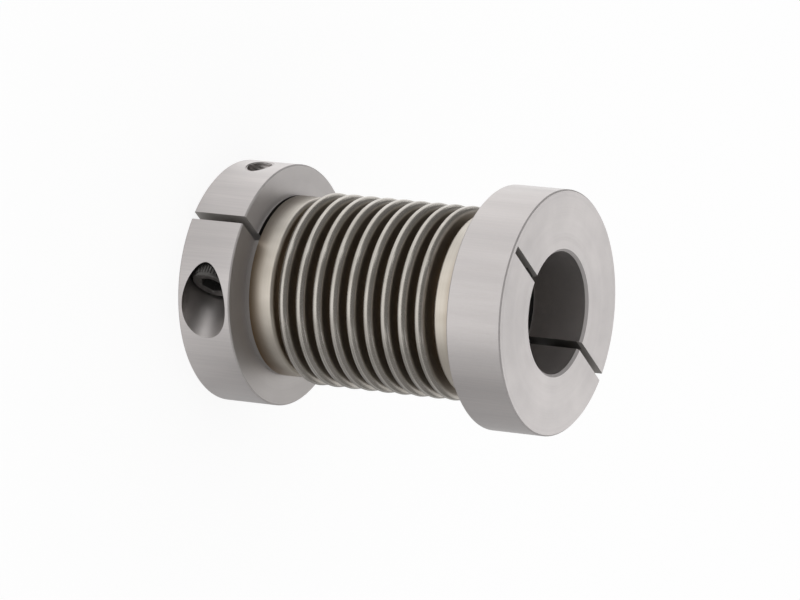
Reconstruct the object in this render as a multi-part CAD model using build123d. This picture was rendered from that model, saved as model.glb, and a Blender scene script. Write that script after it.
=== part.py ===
from build123d import *
import os

# Bellows coupling: two clamp hubs joined by a thin metal bellows, with one clamp screw in each hub.
# Lengths are in mm. The coupling's axis is Z, and the coupling stands on the lower hub's end face
# at Z = 0. The hub's slit lies in the XZ plane, open towards +X on the lower hub, and both screws
# are put in from +Y.

# Hubs
OVERALL_LENGTH = 83.6
HUB_DIAMETER = 56.0
HUB_LENGTH = 13.6
BORE_DIAMETER = 28.0
BORE_CHAMFER = 0.6
EDGE_BREAK = 0.3
SLIT_WIDTH = 1.9
HINGE_WALL = 1.2
RELEASE_STEP = 0.3
RELEASE_CUT = 0.85
SPIGOT_LENGTH = 5.4
SPIGOT_CHAMFER = 0.5

# Bellows
CONVOLUTIONS = 9
PITCH = 4.42
CREST_DIAMETER = 44.5
CREST_WIDTH = 2.66
CREST_CHAMFER = 0.55
ROOT_DIAMETER = 32.4
WALL = 0.4
NECK_DIAMETER = 41.8
NECK_LENGTH = 7.4
NECK_ROUNDING = 1.0

# Clamp screws, M6 socket head cap screws
SCREW_DIAMETER = 6.0
SCREW_LENGTH = 20.0
SCREW_TIP_CHAMFER = 0.8
HEAD_DIAMETER = 10.0
HEAD_HEIGHT = 6.0
HEAD_CHAMFER = 0.5
SOCKET_ACROSS_FLATS = 5.0
SOCKET_DEPTH = 3.0
SOCKET_POINT = 1.2
SOCKET_TURN = 10.0
SCREW_OFFSET = 20.1
SCREW_SEAT = 7.5
CLEARANCE_DIAMETER = 6.6
COUNTERBORE_DIAMETER = 11.5

# Sizes that follow from those above
HUB_RADIUS = HUB_DIAMETER / 2
BORE_RADIUS = BORE_DIAMETER / 2
NECK_RADIUS = NECK_DIAMETER / 2
SPIGOT_RADIUS = NECK_RADIUS - WALL
RELEASE_START = HUB_LENGTH + RELEASE_STEP
CUFF_START = RELEASE_START + RELEASE_CUT
SPIGOT_END = HUB_LENGTH + SPIGOT_LENGTH
NECK_END = HUB_LENGTH + NECK_LENGTH
MIDDLE = OVERALL_LENGTH / 2


def revolved(outline):
    """Solid made by turning a closed outline of (radius, height) points about Z."""
    edge = Polyline(*[(radius, 0, height) for radius, height in outline], close=True)
    return revolve(make_face(edge), axis=Axis.Z)


def turned_over(shape):
    """The shape turned half a turn about Y through the coupling's middle."""
    return Pos(0, 0, MIDDLE) * Rot(0, 180, 0) * Pos(0, 0, -MIDDLE) * shape


def hub_blank():
    """Turned hub: the clamp ring, and the stepped spigot that the bellows is pushed on."""
    return revolved([
        (BORE_RADIUS, BORE_CHAMFER),
        (BORE_RADIUS + BORE_CHAMFER, 0),
        (HUB_RADIUS - EDGE_BREAK, 0),
        (HUB_RADIUS, EDGE_BREAK),
        (HUB_RADIUS, HUB_LENGTH - EDGE_BREAK),
        (HUB_RADIUS - EDGE_BREAK, HUB_LENGTH),
        (NECK_RADIUS, HUB_LENGTH),
        (NECK_RADIUS, CUFF_START),
        (SPIGOT_RADIUS, CUFF_START),
        (SPIGOT_RADIUS, SPIGOT_END - SPIGOT_CHAMFER),
        (SPIGOT_RADIUS - SPIGOT_CHAMFER, SPIGOT_END),
        (BORE_RADIUS, SPIGOT_END),
    ])


def slit():
    """Cut across the whole hub, from the open side to the thin wall that the hub flexes on."""
    start = HINGE_WALL - HUB_RADIUS
    return Pos(start, 0, 0) * Box(
        2 * HUB_RADIUS, SLIT_WIDTH, CUFF_START, align=(Align.MIN, Align.CENTER, Align.MIN)
    )


def release_cut():
    """Cut square to the axis that frees the clamping half of the ring from the spigot."""
    return Pos(0, SLIT_WIDTH / 2, RELEASE_START) * Box(
        2 * HUB_RADIUS, HUB_DIAMETER, RELEASE_CUT, align=(Align.CENTER, Align.MAX, Align.MIN)
    )


def screw_place(height):
    """Place on the screw's axis at a height above the slit, with Z out of the counterbore."""
    return Plane((SCREW_OFFSET, height, HUB_LENGTH / 2), x_dir=(0, 0, 1), z_dir=(0, 1, 0))


def bored(diameter, height):
    """Round hole that runs from a height above the slit out through the hub."""
    return screw_place(height) * Cylinder(
        diameter / 2, HUB_RADIUS, align=(Align.CENTER, Align.CENTER, Align.MIN)
    )


def threaded_hole():
    """Hole for the screw's thread, from the slit out through the clamping half."""
    return screw_place(0) * Cylinder(
        SCREW_DIAMETER / 2, HUB_RADIUS, align=(Align.CENTER, Align.CENTER, Align.MAX)
    )


def hub():
    """One clamp hub, made in one piece, in the lower hub's place."""
    cuts = [
        slit(),
        release_cut(),
        bored(CLEARANCE_DIAMETER, 0),
        bored(COUNTERBORE_DIAMETER, SCREW_SEAT),
        threaded_hole(),
    ]
    return hub_blank() - cuts


def clamp_screw():
    """Socket head cap screw, seated in the lower hub."""
    body = revolved([
        (0, -SCREW_LENGTH),
        (SCREW_DIAMETER / 2 - SCREW_TIP_CHAMFER, -SCREW_LENGTH),
        (SCREW_DIAMETER / 2, SCREW_TIP_CHAMFER - SCREW_LENGTH),
        (SCREW_DIAMETER / 2, 0),
        (HEAD_DIAMETER / 2, 0),
        (HEAD_DIAMETER / 2, HEAD_HEIGHT - HEAD_CHAMFER),
        (HEAD_DIAMETER / 2 - HEAD_CHAMFER, HEAD_HEIGHT),
        (0, HEAD_HEIGHT),
    ])
    floor = HEAD_HEIGHT - SOCKET_DEPTH
    hexagon = RegularPolygon(SOCKET_ACROSS_FLATS / 2, 6, major_radius=False, rotation=SOCKET_TURN)
    socket = Pos(0, 0, floor) * extrude(hexagon, SOCKET_DEPTH)
    point = Pos(0, 0, floor) * Cone(
        0, SOCKET_ACROSS_FLATS / 2, SOCKET_POINT, align=(Align.CENTER, Align.CENTER, Align.MAX)
    )
    return screw_place(SCREW_SEAT) * (body - socket - point)


def crest_heights():
    """Height of the middle of each convolution's crest."""
    first = MIDDLE - PITCH * (CONVOLUTIONS - 1) / 2
    return [first + PITCH * turn for turn in range(CONVOLUTIONS)]


def bellows_outside():
    """Outside of the bellows from bottom to top: cuff, convolutions and cuff."""
    crest, root, half = CREST_DIAMETER / 2, ROOT_DIAMETER / 2, CREST_WIDTH / 2
    arc_middle = NECK_ROUNDING * (1 - 0.5**0.5)
    shoulder = [
        (NECK_RADIUS, CUFF_START),
        (NECK_RADIUS, NECK_END - NECK_ROUNDING),
        (NECK_RADIUS - arc_middle, NECK_END - arc_middle),
        (NECK_RADIUS - NECK_ROUNDING, NECK_END),
        (root, NECK_END),
    ]
    points = list(shoulder)
    for height in crest_heights():
        points += [
            (root, height - half),
            (crest - CREST_CHAMFER, height - half),
            (crest, height - half + CREST_CHAMFER),
            (crest, height + half - CREST_CHAMFER),
            (crest - CREST_CHAMFER, height + half),
            (root, height + half),
        ]
    return points + [(radius, OVERALL_LENGTH - height) for radius, height in reversed(shoulder)]


def bellows_inside():
    """Inside of the bellows from bottom to top, one wall thickness in from the outside."""
    crest = CREST_DIAMETER / 2 - WALL
    root = ROOT_DIAMETER / 2 - WALL
    half = CREST_WIDTH / 2 - WALL
    shoulder = [
        (SPIGOT_RADIUS, CUFF_START),
        (SPIGOT_RADIUS, NECK_END - NECK_ROUNDING),
        (NECK_RADIUS - NECK_ROUNDING, NECK_END - WALL),
        (root, NECK_END - WALL),
    ]
    points = list(shoulder)
    for height in crest_heights():
        points += [
            (root, height - half),
            (crest, height - half),
            (crest, height + half),
            (root, height + half),
        ]
    return points + [(radius, OVERALL_LENGTH - height) for radius, height in reversed(shoulder)]


def bellows():
    """Formed thin-walled bellows with a plain cuff at each end."""
    return revolved(bellows_outside() + bellows_inside()[::-1])


def main():
    """Build each piece and write it to its own file."""
    pieces = {
        "lower_hub": hub(),
        "upper_hub": turned_over(hub()),
        "bellows": bellows(),
        "lower_clamp_screw": clamp_screw(),
        "upper_clamp_screw": turned_over(clamp_screw()),
    }
    os.makedirs("parts", exist_ok=True)
    for name, piece in pieces.items():
        export_step(piece, f"parts/{name}.step")


main()
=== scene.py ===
"""Looks for the bellows coupling.

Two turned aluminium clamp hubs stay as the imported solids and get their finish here. The formed
bellows, the two clamp screws and the threads of the tapped holes are built in full detail.
Lengths are millimetres in the classes that build pieces, and metres in the finishes and the studio.
"""
import sys

import logging
import math
from dataclasses import dataclass
from enum import Enum
from functools import reduce

import bmesh
import bpy
from mathutils import Matrix, Vector


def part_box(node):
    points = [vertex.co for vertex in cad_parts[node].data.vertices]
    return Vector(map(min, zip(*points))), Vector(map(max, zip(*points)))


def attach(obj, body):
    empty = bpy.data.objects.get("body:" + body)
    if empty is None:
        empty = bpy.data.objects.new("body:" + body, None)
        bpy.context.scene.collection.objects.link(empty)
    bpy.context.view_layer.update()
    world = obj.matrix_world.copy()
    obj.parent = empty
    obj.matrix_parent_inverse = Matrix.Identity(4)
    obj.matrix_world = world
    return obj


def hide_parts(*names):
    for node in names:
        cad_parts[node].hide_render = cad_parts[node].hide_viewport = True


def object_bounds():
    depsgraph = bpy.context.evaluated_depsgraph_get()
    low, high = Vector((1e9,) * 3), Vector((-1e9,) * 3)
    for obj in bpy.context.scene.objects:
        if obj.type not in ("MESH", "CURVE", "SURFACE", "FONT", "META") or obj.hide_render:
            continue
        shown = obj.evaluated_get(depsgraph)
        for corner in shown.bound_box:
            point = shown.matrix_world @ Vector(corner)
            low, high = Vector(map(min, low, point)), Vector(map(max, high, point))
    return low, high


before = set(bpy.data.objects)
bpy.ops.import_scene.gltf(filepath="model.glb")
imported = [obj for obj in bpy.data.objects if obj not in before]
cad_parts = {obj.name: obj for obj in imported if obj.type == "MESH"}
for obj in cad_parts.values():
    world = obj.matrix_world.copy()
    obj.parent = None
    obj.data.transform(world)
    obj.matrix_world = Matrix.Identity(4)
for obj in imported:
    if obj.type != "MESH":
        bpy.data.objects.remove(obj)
CAD_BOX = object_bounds()
MM = 0.001
# Points of one mesh that are closer than this, in millimetres, are the same point
MERGE_DISTANCE = 0.0004
# Height of the coupling's middle, in metres
MIDDLE = (CAD_BOX[0][2] + CAD_BOX[1][2]) / 2
# The side that lies uppermost in the view is turned this far from +X towards -Y
TOP_TURN = math.radians(58.0)
# Most of a noise's values lie in this range
USUAL_NOISE = (0.3, 0.7)
# How strong the finer layers of the lathe's marks are
RING_ROUGHNESS = 0.6
Loop = list[Vector]
Colour = tuple[float, float, float]
Socket = bpy.types.NodeSocket
Value = Socket | float | int | tuple


class End(Enum):
    """The two ends of the coupling, with the names of their solids."""

    LOWER = "lower"
    UPPER = "upper"

    @property
    def hub(self) -> str:
        """Name of this end's hub solid."""
        return f"{self.value}_hub"

    @property
    def screw(self) -> str:
        """Name of this end's clamp screw solid."""
        return f"{self.value}_clamp_screw"

    @property
    def turn(self) -> Matrix:
        """Rotation that brings a lower piece to this end's attitude."""
        return Matrix.Rotation(math.pi if self is End.UPPER else 0.0, 4, "Y")


# ---------------------------------------------------------------------------- node helpers


class Graph:
    """Adds nodes to a tree, so that a formula reads from left to right."""

    def __init__(self, tree: bpy.types.NodeTree) -> None:
        """Keep the tree that the nodes go into."""
        self.tree = tree

    def node(self, kind: str, inputs: dict[str | int, Value] | None = None, **settings) -> bpy.types.Node:
        """Make one node.

        Args:
            kind: Blender's name for the node type.
            inputs: sockets by name or number, each with a value or another node's output.
            settings: properties of the node, such as its operation.

        Returns:
            The node.
        """
        made = self.tree.nodes.new(kind)
        for name, value in settings.items():
            setattr(made, name, value)
        for key, value in (inputs or {}).items():
            self.feed(made.inputs[key], value)
        return made

    def feed(self, socket: Socket, value: Value) -> None:
        """Link an output to a socket, or set the socket's own value.

        Args:
            socket: the input to feed.
            value: an output socket or a plain value.
        """
        if isinstance(value, Socket):
            self.tree.links.new(value, socket)
        else:
            socket.default_value = value

    def math(self, operation: str, *values: Value) -> Socket:
        """Make a math node.

        Args:
            operation: Blender's name for the operation.
            values: its one to three operands.

        Returns:
            The result's socket.
        """
        return self.node("ShaderNodeMath", dict(enumerate(values)), operation=operation).outputs[0]

    def plus(self, first: Value, second: Value) -> Socket:
        """Add two numbers."""
        return self.math("ADD", first, second)

    def minus(self, first: Value, second: Value) -> Socket:
        """Subtract the second number from the first."""
        return self.math("SUBTRACT", first, second)

    def over(self, first: Value, second: Value) -> Socket:
        """Divide the first number by the second."""
        return self.math("DIVIDE", first, second)

    def below(self, first: Value, second: Value) -> Socket:
        """Give 1 where the first number is the smaller one, else 0."""
        return self.math("LESS_THAN", first, second)

    def above(self, first: Value, second: Value) -> Socket:
        """Give 1 where the first number is the larger one, else 0."""
        return self.math("GREATER_THAN", first, second)

    def product(self, *values: Value) -> Socket:
        """Multiply numbers."""
        return reduce(lambda first, second: self.math("MULTIPLY", first, second), values)

    def largest(self, *values: Value) -> Socket:
        """Take the largest of some numbers."""
        return reduce(lambda first, second: self.math("MAXIMUM", first, second), values)

    def held(self, value: Value, low: Value, high: Value) -> Socket:
        """Keep a number from a lower to an upper limit."""
        return self.math("MINIMUM", self.math("MAXIMUM", value, low), high)

    def point(self, x: Value = 0.0, y: Value = 0.0, z: Value = 0.0) -> Socket:
        """Make a point from its coordinates."""
        return self.node("ShaderNodeCombineXYZ", {"X": x, "Y": y, "Z": z}).outputs[0]

    def vector(self, operation: str, *values: Value) -> Socket:
        """Make a vector math node.

        Args:
            operation: Blender's name for the operation.
            values: its one or two operands.

        Returns:
            The result's socket, which is a number for a length or a dot product.
        """
        made = self.node("ShaderNodeVectorMath", dict(enumerate(values)), operation=operation)
        return made.outputs["Value" if operation in ("LENGTH", "DOT_PRODUCT") else "Vector"]

    def choose(self, test: Value, yes: Value, no: Value) -> Socket:
        """Take one of two numbers, or a blend of them.

        Args:
            test: 1 takes the first number, 0 the second, and a share between them blends the two.
            yes: the first number.
            no: the second number.

        Returns:
            The chosen number's socket.
        """
        return self.math("MULTIPLY_ADD", test, self.minus(yes, no), no)

    def spread(self, factor: Value, low: Value, high: Value,
               start: float = 0.0, stop: float = 1.0) -> Socket:
        """Map a range of one number onto another range, clamped.

        Args:
            factor: the number.
            low: result at the start of the range.
            high: result at its end.
            start: where the range starts.
            stop: where it ends.

        Returns:
            The result's socket.
        """
        return self.node("ShaderNodeMapRange", {0: factor, 1: start, 2: stop, 3: low, 4: high}).outputs[0]


class Recipe(Graph):
    """A Geometry Nodes tree with named sizes, evaluated once into a plain mesh."""

    def __init__(self, name: str, material: bpy.types.Material) -> None:
        """Start an empty tree.

        Args:
            name: the tree's name.
            material: what its last node sets on the result.
        """
        super().__init__(bpy.data.node_groups.new(name, "GeometryNodeTree"))
        self.tree.is_modifier = True
        self.tree.interface.new_socket(name="Geometry", in_out="OUTPUT", socket_type="NodeSocketGeometry")
        self.material = material
        self.sizes: dict[str, float | int] = {}
        self.group_input = self.tree.nodes.new("NodeGroupInput")

    def size(self, name: str, value: float | int) -> Socket:
        """Add a named input to the tree.

        Args:
            name: the size's name.
            value: its value, whole for a count.

        Returns:
            The socket that carries it inside the tree.
        """
        kind = "NodeSocketInt" if isinstance(value, int) else "NodeSocketFloat"
        made = self.tree.interface.new_socket(name=name, in_out="INPUT", socket_type=kind)
        self.sizes[made.identifier] = value
        return self.group_input.outputs[name]

    def sheet_indices(self, rows: Value, columns: Value) -> tuple[bpy.types.Node, Socket, Socket]:
        """Make a grid whose points know their row and column.

        Args:
            rows: number of rows.
            columns: number of points in each row.

        Returns:
            The grid node, each point's row, and each point's column.
        """
        grid = self.node("GeometryNodeMeshGrid", {"Vertices X": rows, "Vertices Y": columns})
        index = self.node("GeometryNodeInputIndex").outputs[0]
        row = self.math("FLOOR", self.over(self.plus(index, 0.5), columns))
        column = self.minus(index, self.product(row, columns))
        return grid, row, column

    def wrap(self, grid: bpy.types.Node, radius: Value, turn: Value, height: Value) -> Socket:
        """Roll a grid round the axis and close its seams.

        Args:
            grid: the flat grid.
            radius: each point's distance from the axis.
            turn: each point's angle in radians.
            height: each point's place along the axis.

        Returns:
            The rolled mesh.
        """
        x = self.product(radius, self.math("COSINE", turn))
        y = self.product(radius, self.math("SINE", turn))
        sheet = {"Geometry": grid.outputs["Mesh"], "Position": self.point(x, y, height)}
        rolled = self.node("GeometryNodeSetPosition", sheet).outputs[0]
        seams = {"Geometry": rolled, "Distance": MERGE_DISTANCE}
        return self.node("GeometryNodeMergeByDistance", seams).outputs[0]

    def result(self, geometry: Socket) -> bpy.types.Mesh:
        """End the tree, evaluate it and take its mesh.

        Args:
            geometry: what the tree has made.

        Returns:
            The mesh, in millimetres.
        """
        real = self.node("GeometryNodeRealizeInstances", {0: geometry}).outputs[0]
        dressed = self.node("GeometryNodeSetMaterial", {"Geometry": real, "Material": self.material})
        self.node("NodeGroupOutput", {0: dressed.outputs[0]})
        holder = bpy.data.objects.new(self.tree.name, bpy.data.meshes.new(self.tree.name))
        bpy.context.scene.collection.objects.link(holder)
        modifier = holder.modifiers.new(self.tree.name, "NODES")
        modifier.node_group = self.tree
        for identifier, value in self.sizes.items():
            modifier[identifier] = value
        bpy.context.view_layer.update()
        evaluated = holder.evaluated_get(bpy.context.evaluated_depsgraph_get())
        mesh = bpy.data.meshes.new_from_object(evaluated)
        bpy.data.objects.remove(holder)
        return mesh


# ---------------------------------------------------------------------------- mesh helpers


def circle(radius: float, height: float, points: int) -> Loop:
    """Make a ring of points round the Z axis.

    Args:
        radius: the ring's radius.
        height: its place along the axis.
        points: how many points it has.

    Returns:
        The points in order.
    """
    turns = [math.tau * i / points for i in range(points)]
    return [Vector((radius * math.cos(a), radius * math.sin(a), height)) for a in turns]


def hexagon(apothem: float, height: float, points: int, turn: float) -> Loop:
    """Make a six-sided ring of points round the Z axis.

    Args:
        apothem: distance from the axis to each flat.
        height: its place along the axis.
        points: how many points it has.
        turn: angle of a flat's middle, in radians.

    Returns:
        The points in order.
    """
    sixth = math.tau / 6
    ring = []
    for i in range(points):
        angle = math.tau * i / points
        off_flat = (angle - turn + sixth / 2) % sixth - sixth / 2
        reach = apothem / math.cos(off_flat)
        ring.append(Vector((reach * math.cos(angle), reach * math.sin(angle), height)))
    return ring


def skin(loops: list[Loop]) -> bpy.types.Mesh:
    """Join rings into one closed surface, with a point at each end.

    Args:
        loops: rings with the same number of points, in order.

    Returns:
        The mesh, in millimetres.
    """
    shape = bmesh.new()
    rings = [[shape.verts.new(p) for p in loop] for loop in loops]
    for near, far in zip(rings, rings[1:]):
        for i in range(len(near)):
            j = (i + 1) % len(near)
            shape.faces.new((near[i], near[j], far[j], far[i]))
    for ring in (rings[0], rings[-1]):
        middle = shape.verts.new(sum((v.co for v in ring), Vector()) / len(ring))
        for i in range(len(ring)):
            shape.faces.new((ring[i], ring[(i + 1) % len(ring)], middle))
    mesh = bpy.data.meshes.new("skin")
    shape.to_mesh(mesh)
    shape.free()
    return mesh


def finished(name: str, parts: list[bpy.types.Mesh], place: Matrix, material: bpy.types.Material,
             crease: float = 32.0) -> bpy.types.Object:
    """Turn meshes in millimetres into one finished piece that rides on the coupling.

    Args:
        name: the piece's name.
        parts: its meshes, each a closed surface.
        place: rotation and shift into the coupling's frame, in millimetres.
        material: the piece's finish.
        crease: edges sharper than this many degrees stay sharp.

    Returns:
        The piece, at the origin with its place in its mesh.
    """
    shape = bmesh.new()
    for part in parts:
        shape.from_mesh(part)
    bmesh.ops.remove_doubles(shape, verts=shape.verts, dist=MERGE_DISTANCE)
    bmesh.ops.recalc_face_normals(shape, faces=shape.faces)
    bmesh.ops.transform(shape, matrix=Matrix.Scale(MM, 4) @ place, verts=shape.verts)
    for face in shape.faces:
        face.smooth = True
        face.material_index = 0
    mesh = bpy.data.meshes.new(name)
    shape.to_mesh(mesh)
    shape.free()
    mesh.set_sharp_from_angle(angle=math.radians(crease))
    mesh.materials.append(material)
    piece = bpy.data.objects.new(name, mesh)
    bpy.context.scene.collection.objects.link(piece)
    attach(piece, "root")
    return piece


# ---------------------------------------------------------------------------- finishes


class Finish(Graph):
    """A surface finish: one material with its own node tree."""

    def __init__(self, name: str) -> None:
        """Start a material with the usual shader.

        Args:
            name: the material's name.
        """
        self.material = bpy.data.materials.new(name)
        self.material.use_nodes = True
        super().__init__(self.material.node_tree)
        self.shader = self.tree.nodes["Principled BSDF"]
        self.place = self.node("ShaderNodeTexCoord").outputs["Object"]

    def across_and_along(self) -> tuple[Socket, Socket]:
        """Measure where a point lies on the coupling.

        Returns:
            Its distance from the coupling's axis and its height along it, in metres.
        """
        parts = self.node("ShaderNodeSeparateXYZ", {0: self.place}).outputs
        return self.vector("LENGTH", self.point(parts["X"], parts["Y"])), parts["Z"]

    def rings(self, fineness: float, detail: float) -> Socket:
        """Make marks that run round the axis, as a lathe tool leaves them.

        Args:
            fineness: marks per metre.
            detail: how many finer layers of marks are added.

        Returns:
            A number from 0 to 1.
        """
        away, along = self.across_and_along()
        marks = {"Vector": self.point(x=away, z=along), "Scale": fineness, "Detail": detail,
                 "Roughness": RING_ROUGHNESS}
        return self.node("ShaderNodeTexNoise", marks).outputs[0]

    def grain(self, fineness: float, detail: float,
              stretch: tuple[float, float, float] = (1, 1, 1)) -> Socket:
        """Make an even mottle, which may be stretched.

        Args:
            fineness: spots per metre.
            detail: how many finer layers are added.
            stretch: scale along X, Y and Z.

        Returns:
            A number from 0 to 1.
        """
        scaled = self.node("ShaderNodeMapping", {"Vector": self.place, "Scale": stretch}).outputs[0]
        spots = {"Vector": scaled, "Scale": fineness, "Detail": detail}
        return self.node("ShaderNodeTexNoise", spots).outputs[0]

    def relief(self, height: Value, depth: float, under: Socket | None = None) -> Socket:
        """Turn a number into surface relief.

        Args:
            height: the relief, from 0 to 1.
            depth: its full height in metres.
            under: relief that this one lies on.

        Returns:
            The normal's socket.
        """
        made = self.node("ShaderNodeBump", {"Height": height, "Distance": depth, "Strength": 1.0})
        if under:
            self.feed(made.inputs["Normal"], under)
        return made.outputs[0]

    def mixed(self, colour: Value, other: Value, factor: Value) -> Socket:
        """Blend two colours, each a plain one or another node's.

        Args:
            colour: where the factor is 0.
            other: where it is 1.
            factor: how much of the other colour shows.

        Returns:
            The colour's socket.
        """
        pair = [(*each, 1.0) if isinstance(each, tuple) else each for each in (colour, other)]
        return self.node("ShaderNodeMix", {0: factor, 6: pair[0], 7: pair[1]}, data_type="RGBA").outputs[2]

    def dressed(self, colour: Value, metallic: Value, roughness: Value, normal: Value) -> bpy.types.Material:
        """Feed the shader.

        Args:
            colour: the surface's colour.
            metallic: how much of it is bare metal.
            roughness: how far it scatters a reflection.
            normal: its relief.

        Returns:
            The material.
        """
        names = ("Base Color", "Metallic", "Roughness", "Normal")
        for name, value in zip(names, (colour, metallic, roughness, normal)):
            self.feed(self.shader.inputs[name], value)
        return self.material


@dataclass(frozen=True)
class Surface:
    """A hub surface that isn't plainly turned: a test for its place, and shares from 0 to 1 for its look."""

    where: Socket
    sawn: float = 0.0
    # share of near-black painted shade, for recesses where shade falls
    painted_shade: float = 0.0
    matt: float = 0.0
    rough: float = 0.0


@dataclass(frozen=True)
class TurnedAluminium:
    """Fine-turned aluminium with the marks of each tool.

    It has rings on the faces, polished streaks along the rim, sawn walls in the slit and bored walls round
    the screw, and painted shade in the release cuts and at the slit's root. Places are in metres, from the
    axis or from the coupling's middle.
    """

    bright: Colour = (0.682, 0.646, 0.634)
    dull: Colour = (0.556, 0.528, 0.522)
    sawn: Colour = (0.505, 0.48, 0.462)
    # painted shade: near black, for the release cuts and the slit's root
    painted_shade: Colour = (0.05, 0.045, 0.04)
    roughness: tuple[float, float] = (0.29, 0.41)
    sawn_roughness: float = 0.22
    anisotropy: float = 0.25
    anisotropy_turn: float = 0.25
    fine_rings: float = 5200.0
    broad_rings: float = 620.0
    broad_range: tuple[float, float] = (0.35, 0.65)
    mottle_spots: float = 140.0
    rim_streaks: float = 2300.0
    streak_stretch: tuple[float, float, float] = (1.0, 1.0, 0.03)
    rim_bands: float = 190.0
    band_stretch: tuple[float, float, float] = (1.0, 1.0, 0.06)
    relief_depth: float = 0.00001
    rim_start: float = 0.0277
    edge_start: float = 0.0276
    edge_slope: float = 0.65
    edge_slope_reach: float = 0.3
    inner_face: float = 0.0283
    slit_wall: float = 0.00105
    slit_square: float = 0.95
    slit_root_radius: float = 0.0175
    slit_root_height: float = 0.0405
    screw_across: float = 0.0201
    screw_from_middle: float = 0.0350
    bored_radius: float = 0.0058
    tapped_radius: float = 0.00302
    release_middle: float = 0.027475
    release_half: float = 0.00046
    release_radius: float = 0.02085
    bore_radius: float = 0.01404
    mouth_radius: float = 0.0148

    def material(self) -> bpy.types.Material:
        """Build the finish.

        Returns:
            The material.
        """
        made = Finish("turned_aluminium")
        fine = made.rings(self.fine_rings, detail=3.0)
        broad = made.spread(made.rings(self.broad_rings, detail=2.0), *self.broad_range)
        streaks = made.grain(self.rim_streaks, detail=3.0, stretch=self.streak_stretch)
        bands = made.grain(self.rim_bands, detail=3.0, stretch=self.band_stretch)
        mottle = made.grain(self.mottle_spots, detail=3.0)
        rim = made.above(made.across_and_along()[0], self.rim_start)
        surfaces = self._surfaces(made)

        shade = made.choose(0.5, made.choose(rim, streaks, broad), made.choose(rim, bands, mottle))
        turned = made.mixed(self.dull, self.bright, made.spread(shade, 0.0, 1.0, *USUAL_NOISE))
        cut = self._share(made, surfaces, "sawn")
        # painted shade, near black, in the release cuts and at the slit's root
        painted_shade_share = self._share(made, surfaces, "painted_shade")
        colour = made.mixed(made.mixed(turned, self.sawn, cut), self.painted_shade, painted_shade_share)
        metallic = made.minus(1.0, self._share(made, surfaces, "matt"))

        rough = made.spread(made.choose(rim, streaks, fine), *self.roughness, *USUAL_NOISE)
        rough = made.math("MULTIPLY_ADD", cut, self.sawn_roughness, rough)
        rough = made.plus(rough, self._share(made, surfaces, "rough"))

        made.feed(made.shader.inputs["Anisotropic"], self.anisotropy)
        made.feed(made.shader.inputs["Anisotropic Rotation"], self.anisotropy_turn)
        round_axis = made.vector("CROSS_PRODUCT", (0.0, 0.0, 1.0), made.place)
        made.feed(made.shader.inputs["Tangent"], made.vector("NORMALIZE", round_axis))
        normal = made.relief(fine, self.relief_depth, made.relief(mottle, self.relief_depth))
        return made.dressed(colour, metallic, rough, normal)

    def _share(self, made: Finish, surfaces: list[Surface], kind: str) -> Socket:
        """Take one kind of share over all the surfaces, the strongest where they overlap.

        Args:
            made: the finish that is being built.
            surfaces: the hub's special surfaces.
            kind: name of the share.

        Returns:
            The share's socket.
        """
        shares = [(surface.where, getattr(surface, kind)) for surface in surfaces]
        return made.largest(*(made.product(where, share) for where, share in shares if share))

    def _surfaces(self, made: Finish) -> list[Surface]:
        """Tell the differently machined surfaces of both hubs apart.

        Args:
            made: the finish that is being built.

        Returns:
            The surfaces.
        """
        place = made.node("ShaderNodeSeparateXYZ", {0: made.place}).outputs
        normal = made.node("ShaderNodeNewGeometry").outputs["True Normal"]
        facing_out = made.node("ShaderNodeSeparateXYZ", {0: normal}).outputs
        away = made.across_and_along()[0]
        height = made.minus(place["Z"], MIDDLE)
        from_middle = made.math("ABSOLUTE", height)
        inner = made.below(from_middle, self.inner_face)
        freed = made.product(inner, made.below(place["Y"], 0.0))

        at_wall = made.below(made.math("ABSOLUTE", place["Y"]), self.slit_wall)
        slit = made.product(at_wall, made.above(made.math("ABSOLUTE", facing_out["Y"]), self.slit_square))
        slit_root = made.product(slit, made.below(away, self.slit_root_radius),
                                 made.below(from_middle, self.slit_root_height))

        across = made.math("MULTIPLY_ADD", place["X"], made.math("SIGN", height), self.screw_across)
        along = made.minus(from_middle, self.screw_from_middle)
        from_screw = made.vector("LENGTH", made.point(across, along))
        hole = made.choose(made.above(place["Y"], 0.0), self.bored_radius, self.tapped_radius)
        bored = made.product(made.below(from_screw, hole), made.minus(1.0, slit))

        in_cut = made.math("COMPARE", from_middle, self.release_middle, self.release_half)
        release = made.product(in_cut, made.below(away, self.release_radius))
        slope = made.math("ABSOLUTE", facing_out["Z"])
        sloped = made.math("COMPARE", slope, self.edge_slope, self.edge_slope_reach)
        at_edge = made.largest(made.above(away, self.edge_start), made.below(away, self.mouth_radius))
        edge = made.product(sloped, at_edge, made.minus(1.0, bored))
        return [
            Surface(made.minus(inner, freed), sawn=0.6, matt=0.2),
            Surface(freed, sawn=0.2, matt=0.5),
            Surface(slit, sawn=1.0, matt=0.5),
            # painted shade at the slit's root
            Surface(slit_root, painted_shade=0.75),
            Surface(bored, sawn=0.2),
            # painted shade in the release cut
            Surface(release, painted_shade=1.0),
            Surface(edge, matt=0.72, rough=0.4),
            Surface(made.below(away, self.bore_radius), matt=0.2),
        ]


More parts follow.
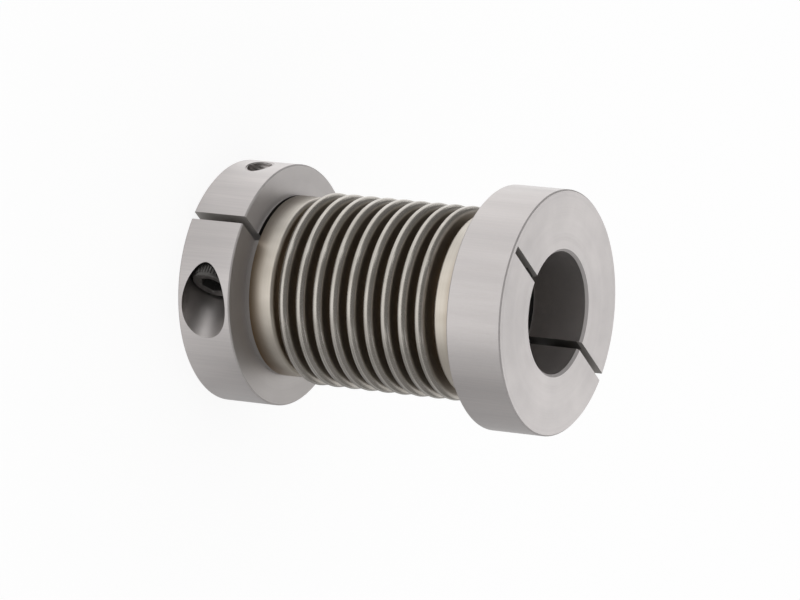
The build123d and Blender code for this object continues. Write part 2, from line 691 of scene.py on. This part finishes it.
@dataclass(frozen=True)
class FormedStainless:
    """Thin stainless sheet formed into bellows: satin, with drawing lines, a brown band on each cuff by its
    hub, and painted shade in the roots and on the flanks.
    """

    bright: Colour = (0.62, 0.585, 0.54)
    dull: Colour = (0.47, 0.44, 0.395)
    cuff_colour: Colour = (0.77, 0.685, 0.57)
    cuff_share: float = 0.4
    tint: Colour = (0.25, 0.155, 0.07)
    tint_strength: float = 0.9
    tint_from: float = 0.0233
    tint_to: float = 0.0272
    tint_wander: float = 0.0016
    shaded: Colour = (0.29, 0.255, 0.215)
    shading: float = 0.9
    # painted shade: the colour in the roots between the convolutions
    painted_root_shade: Colour = (0.46, 0.39, 0.31)
    roughness: tuple[float, float] = (0.33, 0.21)
    flank_roughness: float = 0.25
    neck_roughness: float = 0.07
    drawing_lines: float = 3900.0
    line_depth: float = 0.000006
    mottle_spots: float = 210.0
    mottle_stretch: tuple[float, float, float] = (1.0, 1.0, 0.35)
    mottle_depth: float = 0.000012
    mottle_share: float = 0.55
    cloud_spots: float = 60.0
    contrast: tuple[float, float] = (0.32, 0.66)
    freed_side: float = 0.25
    side_change: tuple[float, float] = (-0.004, 0.005)
    root_radius: float = 0.0172
    crest_radius: float = 0.0207
    flank_radius: float = 0.02185
    first_flank: float = 0.0202

    def material(self) -> bpy.types.Material:
        """Build the finish.

        Returns:
            The material.
        """
        made = Finish("formed_stainless")
        lines = made.rings(self.drawing_lines, detail=3.0)
        mottle = made.grain(self.mottle_spots, detail=4.0, stretch=self.mottle_stretch)
        cloud = made.grain(self.cloud_spots, detail=2.0)
        away, along = made.across_and_along()
        from_middle = made.math("ABSOLUTE", made.minus(along, MIDDLE))
        neck = made.above(from_middle, self.first_flank)
        flank = made.spread(away, 1.0, 0.0, self.crest_radius, self.flank_radius)
        flank = made.product(made.below(from_middle, self.first_flank), flank)
        side = made.node("ShaderNodeSeparateXYZ", {0: made.place}).outputs["Y"]
        on_solid_side = made.spread(side, self.freed_side, 1.0, *self.side_change)

        shade = made.choose(self.mottle_share, mottle, lines)
        worn = made.mixed(self.dull, self.bright, made.spread(shade, 0.0, 1.0, *self.contrast))
        # a lighter, warmer colour on the cuffs, mostly on the side where y is positive
        metal = made.mixed(worn, self.cuff_colour, made.product(neck, on_solid_side, self.cuff_share))
        # a brown band on the cuffs that grows towards each hub, mostly on the side where y is positive
        uneven = made.math("MULTIPLY_ADD", made.minus(cloud, 0.5), self.tint_wander, from_middle)
        brown_band = made.spread(uneven, 0.0, self.tint_strength, self.tint_from, self.tint_to)
        tinted = made.mixed(metal, self.tint, made.product(brown_band, on_solid_side))
        # painted shade on the sides of the convolutions below the crest tops
        lit = made.mixed(tinted, self.shaded, made.product(flank, self.shading))
        # painted shade: the colour darkens from the crests down into the roots
        colour = made.mixed(self.painted_root_shade, lit, made.spread(away, 0.0, 1.0, self.root_radius, self.crest_radius))

        rough = made.spread(shade, *self.roughness, *USUAL_NOISE)
        rough = made.math("MULTIPLY_ADD", neck, self.neck_roughness, rough)
        rough = made.math("MULTIPLY_ADD", flank, self.flank_roughness, rough)
        normal = made.relief(lines, self.line_depth, made.relief(mottle, self.mottle_depth))
        return made.dressed(colour, 1.0, rough, normal)


@dataclass(frozen=True)
class BlackOxide:
    """Black oxide on a steel screw: near black, satin, rubbed lighter where it is handled."""

    black: Colour = (0.11, 0.105, 0.10)
    rubbed: Colour = (0.24, 0.23, 0.22)
    rubbing: float = 0.8
    rubbed_noise: tuple[float, float] = (0.52, 0.78)
    metallic: float = 0.8
    roughness: tuple[float, float] = (0.46, 0.30)
    patch_spots: float = 900.0
    speck_spots: float = 5200.0
    speck_depth: float = 0.000012

    def material(self) -> bpy.types.Material:
        """Build the finish.

        Returns:
            The material.
        """
        made = Finish("black_oxide")
        patches = made.grain(self.patch_spots, detail=4.0)
        worn = made.spread(patches, 0.0, self.rubbing, *self.rubbed_noise)
        rough = made.spread(patches, *self.roughness, *USUAL_NOISE)
        normal = made.relief(made.grain(self.speck_spots, detail=3.0), self.speck_depth)
        return made.dressed(made.mixed(self.black, self.rubbed, worn), self.metallic, rough, normal)


# ---------------------------------------------------------------------------- the coupling's pieces


@dataclass
class BellowsShell:
    """The formed bellows: a thin wall of alternating round crests and roots between two plain cuffs."""

    finish: bpy.types.Material
    convolutions: int = 9
    pitch: float = 4.42
    crest_radius: float = 22.25
    crest_bend: float = 1.33
    root_radius: float = 16.2
    cuff_radius: float = 20.9
    shoulder_bend: float = 1.0
    cuff_length: float = 6.25
    wall: float = 0.4
    crease: float = 50.0
    points_per_bend: int = 9
    points_round: int = 168

    def build(self) -> bpy.types.Object:
        """Build the shell in place of its solid.

        Returns:
            The finished piece.
        """
        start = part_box("bellows")[0].z / MM
        piece = finished("bellows_shell", [self._rolled(start)], Matrix.Identity(4), self.finish,
                         self.crease)
        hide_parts("bellows")
        return piece

    def _rolled(self, start: float) -> bpy.types.Mesh:
        """Make both skins of the wall from one rule and roll them round the axis.

        Args:
            start: height of the lower cuff's end.

        Returns:
            The shell's mesh, in millimetres.
        """
        g = Recipe("bellows_rule", self.finish)
        count = g.size("Convolutions", self.convolutions)
        pitch = g.size("Pitch", self.pitch)
        crest_r = g.size("Crest Radius", self.crest_radius)
        crest_bend = g.size("Crest Bend", self.crest_bend)
        root_r = g.size("Root Radius", self.root_radius)
        cuff_r = g.size("Cuff Radius", self.cuff_radius)
        shoulder_bend = g.size("Shoulder Bend", self.shoulder_bend)
        cuff_start = g.size("Cuff Start", start)
        cuff_length = g.size("Cuff Length", self.cuff_length)
        wall = g.size("Wall", self.wall)
        steps = g.size("Points Per Bend", self.points_per_bend)
        round_count = g.size("Points Round", self.points_round)

        shoulder_end = g.plus(cuff_start, cuff_length)
        length_half = (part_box("bellows")[1].z / MM - start) / 2
        middle = g.plus(cuff_start, g.size("Half Length", length_half))
        half_pitch = g.over(pitch, 2.0)
        first_crest = g.minus(middle, g.product(g.minus(count, 1.0), half_pitch))
        root_bend = g.minus(half_pitch, crest_bend)
        end_bend = g.over(g.minus(g.minus(first_crest, crest_bend), shoulder_end), 2.0)

        bends = g.math("MULTIPLY_ADD", count, 2.0, 3.0)
        bend_points = g.product(bends, steps)
        skin_points = g.plus(bend_points, 2.0)
        both_skins = g.product(skin_points, 2.0)
        grid, row, column = g.sheet_indices(g.plus(both_skins, 1.0), g.plus(round_count, 1.0))
        turn = g.over(g.product(column, math.tau), round_count)

        lap = g.math("MODULO", row, both_skins)
        inside = g.above(lap, g.minus(skin_points, 0.5))
        back = g.minus(g.minus(both_skins, 1.0), lap)
        point = g.minus(g.choose(inside, back, lap), 1.0)
        kept = g.held(point, 0.0, g.minus(bend_points, 1.0))
        on_cuff = g.above(g.math("ABSOLUTE", g.minus(point, kept)), 0.5)
        offset = g.product(inside, wall, -1.0)

        bend = g.minus(g.math("FLOOR", g.over(g.plus(kept, 0.5), steps)), 1.0)
        within = g.minus(kept, g.product(g.plus(bend, 1.0), steps))
        share = g.over(within, g.minus(steps, 1.0))
        far_half = g.above(bend, count)
        number = g.choose(far_half, g.minus(g.product(count, 2.0), bend), bend)
        swept = g.choose(far_half, g.minus(1.0, share), share)
        is_shoulder = g.below(number, -0.5)
        is_end = g.math("COMPARE", number, 0.0, 0.1)
        is_crest = g.math("COMPARE", g.math("MODULO", g.plus(number, 2.0), 2.0), 1.0, 0.1)

        crest_middle = g.math("MULTIPLY_ADD", g.minus(number, 1.0), half_pitch, first_crest)
        wave_z = g.choose(is_end, g.plus(shoulder_end, end_bend), crest_middle)
        bend_z = g.choose(is_shoulder, g.minus(shoulder_end, shoulder_bend), wave_z)
        root_size = g.choose(is_end, end_bend, root_bend)
        wave_r = g.choose(is_crest, g.minus(crest_r, crest_bend), g.plus(root_r, root_size))
        bend_r = g.choose(is_shoulder, g.minus(cuff_r, shoulder_bend), wave_r)
        convex = g.largest(is_shoulder, is_crest)
        convex_size = g.plus(g.choose(is_shoulder, shoulder_bend, crest_bend), offset)
        size = g.choose(convex, convex_size, g.minus(root_size, offset))
        convex_angle = g.product(g.choose(is_shoulder, math.pi / 2, math.pi), g.minus(1.0, swept))
        angle = g.choose(convex, convex_angle, g.math("MULTIPLY_ADD", swept, math.pi, math.pi))
        radius = g.math("MULTIPLY_ADD", size, g.math("SINE", angle), bend_r)
        near_z = g.choose(on_cuff, cuff_start, g.math("MULTIPLY_ADD", size, g.math("COSINE", angle), bend_z))
        height = g.choose(far_half, g.minus(g.product(middle, 2.0), near_z), near_z)
        return g.result(g.wrap(grid, radius, turn, height))


@dataclass
class Thread:
    """A screw thread on a round wall: outside on a screw, or in a hole that may run out through a rim."""

    finish: bpy.types.Material
    crest: float = 2.97
    root: float = 2.42
    backing: float = 0.0
    pitch: float = 1.0
    start: float = 0.0
    length: float = 14.0
    lead_in: float = 0.6
    flank_steepness: float = 1.5
    root_flat: float = 0.2
    points_per_turn: int = 56
    rows_per_pitch: int = 10
    rim_radius: float = 0.0
    rim_offset: float = 0.0

    def mesh(self) -> bpy.types.Mesh:
        """Make the thread round the Z axis from one rule.

        Returns:
            A closed mesh, in millimetres: a rod, or a sleeve where there is a backing radius.
        """
        g = Recipe("thread_rule", self.finish)
        crest = g.size("Crest Radius", self.crest)
        root = g.size("Root Radius", self.root)
        backing = g.size("Backing Radius", self.backing)
        pitch = g.size("Pitch", self.pitch)
        start = g.size("Start", self.start)
        length = g.size("Length", self.length)
        lead_in = g.size("Lead In", self.lead_in)
        round_count = g.size("Points Round", self.points_per_turn)
        body_rows = g.size("Body Rows", int(self.length / self.pitch * self.rows_per_pitch))

        rows = g.plus(body_rows, 3.0)
        grid, row, column = g.sheet_indices(rows, g.plus(round_count, 1.0))
        share_round = g.over(column, round_count)
        along = g.product(g.held(g.over(g.minus(row, 1.0), body_rows), 0.0, 1.0), length)
        phase = g.math("FRACT", g.minus(g.plus(g.over(along, pitch), 1.0), share_round))
        ramp = g.minus(1.0, g.math("ABSOLUTE", g.math("MULTIPLY_ADD", phase, 2.0, -1.0)))
        tooth = g.held(g.math("MULTIPLY_ADD", ramp, self.flank_steepness, -self.root_flat), 0.0, 1.0)
        to_end = g.math("MINIMUM", along, g.minus(length, along))
        grown = g.math("MINIMUM", g.over(to_end, lead_in), 1.0)
        radius = g.math("MULTIPLY_ADD", g.product(tooth, grown), g.minus(crest, root), root)
        outer_row = g.largest(g.below(row, 0.5), g.above(row, g.minus(rows, 1.5)))
        radius = g.choose(outer_row, backing, radius)
        turn = g.product(share_round, math.tau)
        height = g.plus(along, start)
        if self.rim_radius:
            rim = g.size("Rim Radius", self.rim_radius)
            offset = g.size("Rim Offset", self.rim_offset)
            across = g.math("MULTIPLY_ADD", radius, g.math("COSINE", turn), offset)
            rim_height = g.math("SQRT", g.minus(g.product(rim, rim), g.product(across, across)))
            height = g.math("MINIMUM", height, rim_height)
        return g.result(g.wrap(grid, radius, turn, height))


@dataclass
class ClampScrew:
    """A socket head cap screw: knurled head, hexagon socket, threaded shank."""

    finish: bpy.types.Material
    end: End
    head_radius: float = 5.0
    head_height: float = 6.0
    edge: float = 0.5
    edge_steps: int = 5
    foot: float = 0.35
    knurl_depth: float = 0.16
    knurl_start: float = 0.5
    knurl_gap: float = 0.15
    knurl_share: float = 0.42
    knurls: int = 44
    socket_flats: float = 5.0
    socket_depth: float = 3.0
    socket_point: float = 1.2
    socket_turn: float = math.radians(10.0)
    socket_chamfer: float = 0.25
    socket_tip_radius: float = 0.3
    thread_radius: float = 3.0
    thread_depth: float = 0.6
    thread_clearance: float = 0.03
    thread_pitch: float = 1.0
    thread_overlap: float = 0.4
    tip_length: float = 0.7
    tip_inset: float = 0.02
    tip_overlap: float = 0.3
    tip_chamfer: float = 0.5
    points_round_head: int = 192
    points_round_shank: int = 56

    def build(self) -> bpy.types.Object:
        """Build the screw in place of its solid.

        Returns:
            The finished piece.
        """
        low, high = (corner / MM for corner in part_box(self.end.screw))
        seat = Vector(((low.x + high.x) / 2, high.y - self.head_height, (low.z + high.z) / 2))
        lying = Matrix.Rotation(math.radians(-90.0), 4, "X")
        place = Matrix.Translation(seat) @ self.end.turn @ lying
        reach = seat.y - low.y
        parts = [self._head(), self._knurl(), self._shank(reach), self._tip(reach)]
        piece = finished(f"{self.end.value}_cap_screw", parts, place, self.finish)
        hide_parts(self.end.screw)
        return piece

    def _head(self) -> bpy.types.Mesh:
        """Make the head with its rounded rim and hexagon socket.

        Returns:
            The closed mesh.
        """
        count, top, foot = self.points_round_head, self.head_height, self.foot
        core = self.head_radius - self.knurl_depth
        half_flats = self.socket_flats / 2
        corner = half_flats / math.cos(math.pi / 6)
        floor = top - self.socket_depth
        loops = [circle(core - foot, 0.0, count), circle(core, foot, count)]
        for step in range(self.edge_steps + 1):
            bend = math.pi / 2 * step / self.edge_steps
            inward, down = self.edge * (1 - math.cos(bend)), self.edge * (1 - math.sin(bend))
            loops.append(circle(core - inward, top - down, count))
        loops += [
            circle(corner + self.socket_chamfer, top, count),
            hexagon(half_flats, top - self.socket_chamfer, count, self.socket_turn),
            hexagon(half_flats, floor, count, self.socket_turn),
            circle(half_flats - self.socket_chamfer, floor, count),
            circle(self.socket_tip_radius, floor - self.socket_point, count),
        ]
        return skin(loops)

    def _knurl(self) -> bpy.types.Mesh:
        """Set straight knurl ridges round the head.

        Returns:
            The mesh of all ridges.
        """
        g = Recipe("knurl_rule", self.finish)
        ridges = g.size("Ridges", self.knurls)
        radius = g.size("Head Radius", self.head_radius)
        depth = g.size("Ridge Depth", self.knurl_depth)
        low = g.size("Ridge Start", self.knurl_start)
        high = g.size("Ridge End", self.head_height - self.edge - self.knurl_gap)
        half_ridge = g.product(g.over(g.product(radius, math.tau), ridges), self.knurl_share)
        places = g.node("GeometryNodeMeshCircle", {"Vertices": ridges, "Radius": g.minus(radius, depth)})
        bar = g.node("GeometryNodeMeshCone", {"Vertices": 3, "Radius Top": half_ridge,
                                              "Radius Bottom": half_ridge, "Depth": 1.0})
        stretch = g.point(g.over(depth, half_ridge), 1.0, g.minus(high, low))
        ridge = g.node("GeometryNodeTransform", {"Geometry": bar.outputs[0], "Scale": stretch})
        turn = g.product(g.node("GeometryNodeInputIndex").outputs[0], g.over(math.tau, ridges))
        placed = g.node("GeometryNodeInstanceOnPoints", {
            "Points": places.outputs[0], "Instance": ridge.outputs[0], "Rotation": g.point(z=turn)})
        lifted = {"Geometry": placed.outputs[0], "Translation": g.point(z=low)}
        return g.result(g.node("GeometryNodeTransform", lifted).outputs[0])

    def _shank(self, reach: float) -> bpy.types.Mesh:
        """Make the threaded shank below the head.

        Args:
            reach: distance from the seat to the screw's tip.

        Returns:
            The closed mesh.
        """
        shank = Thread(
            self.finish, crest=self.thread_radius - self.thread_clearance,
            root=self.thread_radius - self.thread_depth, pitch=self.thread_pitch,
            start=self.tip_length - reach, length=reach - self.tip_length + self.thread_overlap,
            points_per_turn=self.points_round_shank)
        return shank.mesh()

    def _tip(self, reach: float) -> bpy.types.Mesh:
        """Make the chamfered tip.

        Args:
            reach: distance from the seat to the screw's tip.

        Returns:
            The closed mesh.
        """
        core = self.thread_radius - self.thread_depth
        rings = (
            (core - self.tip_inset, self.tip_length + self.tip_overlap),
            (core - self.tip_inset, self.tip_chamfer),
            (core - self.tip_chamfer, 0.0),
        )
        return skin([circle(radius, height - reach, self.points_round_shank) for radius, height in rings])


@dataclass
class ClampHub:
    """A turned clamp hub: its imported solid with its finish, and the thread in its tapped hole."""

    finish: bpy.types.Material
    end: End
    hole_radius: float = 3.0
    thread_depth: float = 0.5
    thread_clearance: float = 0.02
    thread_backing: float = 0.05
    lead_in: float = 0.05
    thread_start: float = 12.8
    thread_end: float = 22.0
    thread_pitch: float = 1.0
    rim_radius: float = 27.82

    def build(self) -> bpy.types.Object:
        """Dress the hub and cut the thread that shows in the free end of its tapped hole.

        Returns:
            The thread's finished piece.
        """
        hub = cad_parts[self.end.hub]
        hub.data.materials.clear()
        hub.data.materials.append(self.finish)
        low, high = (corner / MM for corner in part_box(self.end.screw))
        middle = Vector(((low.x + high.x) / 2, 0.0, (low.z + high.z) / 2))
        lying = Matrix.Rotation(math.radians(90.0), 4, "X")
        sleeve = Thread(
            self.finish, crest=self.hole_radius - self.thread_clearance,
            root=self.hole_radius - self.thread_depth, backing=self.hole_radius + self.thread_backing,
            pitch=self.thread_pitch, start=self.thread_start, length=self.thread_end - self.thread_start,
            lead_in=self.lead_in, rim_radius=self.rim_radius, rim_offset=abs(middle.x))
        place = Matrix.Translation(middle) @ self.end.turn @ lying
        name = f"{self.end.value}_tapped_thread"
        return finished(name, [sleeve.mesh()], place, self.finish)


# ---------------------------------------------------------------------------- the studio


def facing(up: float, near: float, along: float) -> Vector:
    """Turn a direction of the lying coupling into one of the frame.

    Args:
        up: share towards the top of the view.
        near: share towards the eye, level.
        along: share along the coupling's axis, towards the upper hub.

    Returns:
        The unit direction.
    """
    top = Vector((math.cos(TOP_TURN), -math.sin(TOP_TURN), 0.0))
    front = Vector((math.sin(TOP_TURN), math.cos(TOP_TURN), 0.0))
    return (top * up + front * near + Vector((0.0, 0.0, along))).normalized()


def sheet(name: str, segments: int, place: Matrix, material: bpy.types.Material) -> bpy.types.Object:
    """Make a flat square for the studio.

    Args:
        name: its name.
        segments: how many squares it has along each edge.
        place: scale, rotation and shift of a square that reaches 1 m from its middle.
        material: its material.

    Returns:
        The square's object.
    """
    shape = bmesh.new()
    bmesh.ops.create_grid(shape, x_segments=segments, y_segments=segments, size=1.0)
    bmesh.ops.transform(shape, matrix=place, verts=shape.verts)
    mesh = bpy.data.meshes.new(name)
    shape.to_mesh(mesh)
    shape.free()
    mesh.materials.append(material)
    made = bpy.data.objects.new(name, mesh)
    bpy.context.scene.collection.objects.link(made)
    return made


class Glow(Graph):
    """The material of a studio surface that gives its own light."""

    def __init__(self, name: str) -> None:
        """Start a material with no shader.

        Args:
            name: the material's name.
        """
        self.material = bpy.data.materials.new(name)
        self.material.use_nodes = True
        super().__init__(self.material.node_tree)
        self.tree.nodes.remove(self.tree.nodes["Principled BSDF"])

    def light(self, tone: Colour, strength: Value) -> Socket:
        """Make a shader that gives light of one tone."""
        return self.node("ShaderNodeEmission", {"Color": (*tone, 1.0), "Strength": strength}).outputs[0]

    def shown(self, shader: Socket) -> bpy.types.Material:
        """Give the material its shader."""
        self.feed(self.tree.nodes["Material Output"].inputs["Surface"], shader)
        return self.material


@dataclass
class SoftBox:
    """One soft lamp, aimed at the coupling."""

    name: str
    toward: tuple[float, float, float]
    distance: float
    size: float
    power: float

    def hang(self, aim: Vector) -> None:
        """Put the lamp in the scene.

        Args:
            aim: the point it faces.
        """
        lamp = bpy.data.lights.new(self.name, "AREA")
        lamp.shape = "DISK"
        lamp.size = self.size
        lamp.energy = self.power
        holder = bpy.data.objects.new(self.name, lamp)
        bpy.context.scene.collection.objects.link(holder)
        away = facing(*self.toward)
        holder.location = aim + away * self.distance
        holder.rotation_euler = away.to_track_quat("Z", "Y").to_euler()


@dataclass
class Flag:
    """One glowing card outside the view, seen only in reflections, which stands in for a darker patch of the
    room.
    """

    name: str
    toward: tuple[float, float, float]
    distance: float
    half_width: float
    half_height: float
    shade: float
    far_shade: float | None = None
    far_change: tuple[float, float] = (-0.15, 0.6)
    tone: Colour = (1.0, 0.985, 0.965)

    def stand(self, aim: Vector) -> None:
        """Put the card in the scene.

        Args:
            aim: the point it faces.
        """
        g = Glow(self.name)
        shade = self.shade if self.far_shade is None else self._graded(g, aim)
        away = facing(*self.toward)
        turn = away.to_track_quat("Z", "Y").to_matrix().to_4x4()
        size = Matrix.Diagonal((self.half_width, self.half_height, 1.0, 1.0))
        place = Matrix.Translation(aim + away * self.distance) @ turn @ size
        card = sheet(self.name, 4, place, g.shown(g.light(self.tone, shade)))
        card.visible_camera = False
        card.visible_shadow = False
        card.visible_diffuse = False

    def _graded(self, g: Graph, aim: Vector) -> Socket:
        """Let the card's shade change from its near edge to its far edge.

        Args:
            g: the card's tree.
            aim: the point it faces.

        Returns:
            The shade's socket.
        """
        place = g.node("ShaderNodeTexCoord").outputs["Object"]
        heading = g.vector("NORMALIZE", g.vector("SUBTRACT", place, aim))
        near = g.vector("DOT_PRODUCT", heading, facing(0.0, 1.0, 0.0))
        return g.spread(near, self.far_shade, self.shade, *self.far_change)


@dataclass
class Floor:
    """A pale floor that keeps the coupling's shadow, and shows metal darker shades on some of its sides.

    Each side has a direction, the shares of that direction over which it comes in, its strength, and the
    distances over which that strength changes.
    """

    half_size: float = 4.0
    matt: float = 0.25
    seen: float = 0.85
    light: float = 0.25
    below_toward: tuple[float, float, float] = (-0.97, -0.24, 0.0)
    below_share: tuple[float, float] = (0.02, 0.80)
    below: float = 0.40
    below_patch: float = 0.16
    patch_start: tuple[float, float] = (0.045, 0.060)
    patch_end: tuple[float, float] = (0.115, 0.140)
    above_toward: tuple[float, float, float] = (0.74, 0.67, 0.0)
    above_share: tuple[float, float] = (0.75, 0.98)
    above: float = 0.75
    above_end: tuple[float, float] = (0.10, 0.14)
    front_toward: tuple[float, float, float] = (-0.1, 0.99, 0.0)
    front_share: tuple[float, float] = (0.52, 0.98)
    front: float = 0.72
    front_end: tuple[float, float] = (0.048, 0.060)
    # painted shadow: reflections show the floor darker close under the coupling
    under: float = 0.85
    contact_shadow_end: tuple[float, float] = (0.020, 0.029)
    far: float = 0.30
    far_start: tuple[float, float] = (0.24, 0.40)

    def lay(self) -> None:
        """Put the floor in the scene."""
        g = Glow("white_floor")
        matt = g.node("ShaderNodeBsdfDiffuse", {"Color": (self.matt, self.matt, self.matt, 1.0)}).outputs[0]
        path = g.node("ShaderNodeLightPath").outputs
        reflected = g.largest(path["Is Glossy Ray"], path["Is Transmission Ray"])
        unseen = g.choose(reflected, self._reflected(g), self.light)
        glow = g.light((1.0, 1.0, 1.0), g.choose(path["Is Camera Ray"], self.seen, unseen))
        both = g.node("ShaderNodeAddShader", {0: matt, 1: glow}).outputs[0]
        floor = sheet("floor", 8, Matrix.Scale(self.half_size, 4), g.shown(both))

    def _reflected(self, g: Graph) -> Socket:
        """Shade what metal reflects of the floor, by direction and distance from the coupling.

        Args:
            g: the floor's tree.

        Returns:
            The strength's socket.
        """
        place = g.node("ShaderNodeTexCoord").outputs["Object"]
        heading = g.vector("NORMALIZE", place)
        away = g.vector("LENGTH", place)
        patch = g.spread(away, self.below, self.below_patch, *self.patch_start)
        below = g.plus(patch, g.spread(away, 0.0, self.below - self.below_patch, *self.patch_end))
        above = g.spread(away, self.above, 1.0, *self.above_end)
        front = g.spread(away, self.front, 1.0, *self.front_end)
        sides = (
            (self.below_toward, self.below_share, below),
            (self.above_toward, self.above_share, above),
            (self.front_toward, self.front_share, front),
        )
        strengths = [g.spread(g.vector("DOT_PRODUCT", heading, facing(*toward)), 1.0, strength, *share)
                     for toward, share, strength in sides]
        far = g.spread(away, 1.0, self.far, *self.far_start)
        # painted shadow close under the coupling, seen in reflections only
        under = g.spread(away, self.under, 1.0, *self.contact_shadow_end)
        return g.product(*strengths, far, under)


@dataclass
class Studio:
    """White surroundings, a floor, soft lamps, cards and the camera."""

    lamps: list[SoftBox]
    flags: list[Flag]
    floor: Floor
    world_light: float = 0.55
    aim: tuple[float, float, float] = (-0.0004, 0.0007, 0.0426)
    azimuth: float = 29.09
    elevation: float = 28.88
    roll: float = 96.0
    distance: float = 1.373
    lens: float = 270.0
    sensor: float = 36.0
    clip: tuple[float, float] = (0.02, 20.0)

    def build(self) -> None:
        """Set the scene round the coupling."""
        bpy.context.scene.view_settings.view_transform = "Standard"
        self.floor.lay()
        self._world()
        middle = Vector((0.0, 0.0, MIDDLE))
        for lamp in self.lamps:
            lamp.hang(middle)
        for flag in self.flags:
            flag.stand(middle)
        self._camera()

    def _world(self) -> None:
        """Surround the coupling with white for the eye and in reflections, and light it less."""
        world = bpy.data.worlds.new("white_studio")
        world.use_nodes = True
        g = Graph(world.node_tree)
        back = g.tree.nodes["Background"].inputs
        back["Color"].default_value = (1.0, 1.0, 1.0, 1.0)
        path = g.node("ShaderNodeLightPath").outputs
        seen = g.largest(path["Is Camera Ray"], path["Is Glossy Ray"], path["Is Transmission Ray"])
        g.feed(back["Strength"], g.choose(seen, 1.0, self.world_light))
        bpy.context.scene.world = world

    def _camera(self) -> None:
        """Set the camera at its angle, rolled so that the coupling lies across the frame."""
        azimuth, elevation, roll = map(math.radians, (self.azimuth, self.elevation, self.roll))
        level_back = Vector((math.cos(azimuth), math.sin(azimuth), 0.0))
        back = level_back * math.cos(elevation) + Vector((0.0, 0.0, math.sin(elevation)))
        level = (-back).cross(Vector((0.0, 0.0, 1.0))).normalized()
        upright = level.cross(-back)
        right = level * math.cos(roll) + upright * math.sin(roll)
        up = upright * math.cos(roll) - level * math.sin(roll)
        lens = bpy.data.cameras.new("camera")
        lens.lens = self.lens
        lens.sensor_width = self.sensor
        lens.clip_start, lens.clip_end = self.clip
        camera = bpy.data.objects.new("camera", lens)
        turn = Matrix((right, up, back)).transposed().to_4x4()
        camera.matrix_world = Matrix.Translation(Vector(self.aim) + back * self.distance) @ turn
        bpy.context.scene.collection.objects.link(camera)
        bpy.context.scene.camera = camera


def main() -> None:
    """Build the coupling's looks, then the studio."""
    logging.basicConfig(level=logging.INFO, format="%(message)s", stream=sys.stdout)
    log = logging.getLogger("coupling")
    aluminium = TurnedAluminium().material()
    stainless = FormedStainless().material()
    oxide = BlackOxide().material()
    makers = [BellowsShell(stainless)]
    makers += [ClampHub(aluminium, end) for end in End]
    makers += [ClampScrew(oxide, end) for end in End]
    for maker in makers:
        piece = maker.build()
        log.info("%s: %d faces", piece.name, len(piece.data.polygons))
    Studio(
        lamps=[SoftBox("back_wall", (-0.3, -0.8, 0.5), 1.6, 1.6, 0.5)],
        flags=[
            Flag("grey_room", (0.0, 0.95, 0.31), 1.05, 0.85, 0.80, 0.22),
            Flag("dark_ceiling", (0.0, -0.05, 1.0), 0.8, 0.50, 0.65, 0.21, far_shade=0.045),
            Flag("grey_below", (-1.0, -0.05, 0.1), 0.45, 0.50, 0.50, 0.24),
            Flag("grey_above", (0.86, -0.02, 0.50), 0.5, 0.45, 0.33, 0.21),
            Flag("grey_behind", (0.62, -0.50, 0.60), 0.45, 0.24, 0.24, 0.18),
        ],
        floor=Floor(),
    ).build()


if __name__ == "__main__":
    main()
